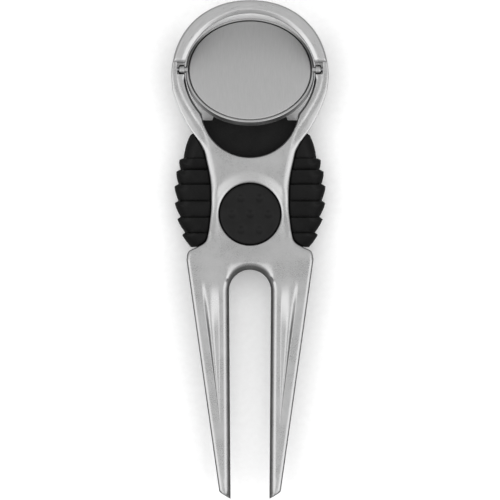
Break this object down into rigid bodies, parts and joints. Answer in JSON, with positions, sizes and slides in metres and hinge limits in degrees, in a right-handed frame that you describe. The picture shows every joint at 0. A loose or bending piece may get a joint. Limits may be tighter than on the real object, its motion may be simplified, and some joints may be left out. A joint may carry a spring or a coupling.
{
  "type": "divot repair tool",
  "caption": "Golf divot repair tool: satin metal fork with ribbed rubber grip and a tilting round dish that holds a magnetic ball marker.",
  "frame": {"origin": "middle of the tool's bounding box, on the surface that its flat back rests on", "axes": "+Z out of the face, +Y towards the round head, prongs towards -Y, +X to the right seen from the face"},
  "size_m": [0.0292, 0.0924, 0.0152],
  "materials": {
    "satin_nickel": "satin nickel on die-cast zinc",
    "brushed_nickel": "brushed along the arc",
    "marker_steel": "fine straight brushing",
    "steel": "zinc plated",
    "magnet": "nickel plated",
    "black_plastic": "fine matte texture",
    "black_rubber": "moulded, satin"
  },
  "bodies": {
    "tool": {"frame": "satin_nickel", "ring_back": "satin_nickel", "hood": "brushed_nickel", "hood_rivets": "steel", "pivot_pin_left": "steel", "pivot_pin_right": "steel", "core": "black_plastic", "back_cover": "black_plastic", "back_screws": "steel", "grip_pad_left": "black_rubber", "grip_pad_right": "black_rubber", "badge": "black_rubber"},
    "dish": {"marker_dish": "satin_nickel", "marker_magnet": "magnet"},
    "marker": {"ball_marker": "marker_steel"}
  },
  "joints": [
    {"name": "dish_tilt", "type": "hinge", "parent": "tool", "child": "dish", "pos_m": [0, 0.03335, 0.0086], "axis": [-1, 0, 0], "range_deg": [-34, 0]},
    {"name": "marker_lift", "type": "slide", "parent": "dish", "child": "marker", "axis": [0, 0.3256, 0.9455], "range_m": [0, 0.0028]}
  ]
}
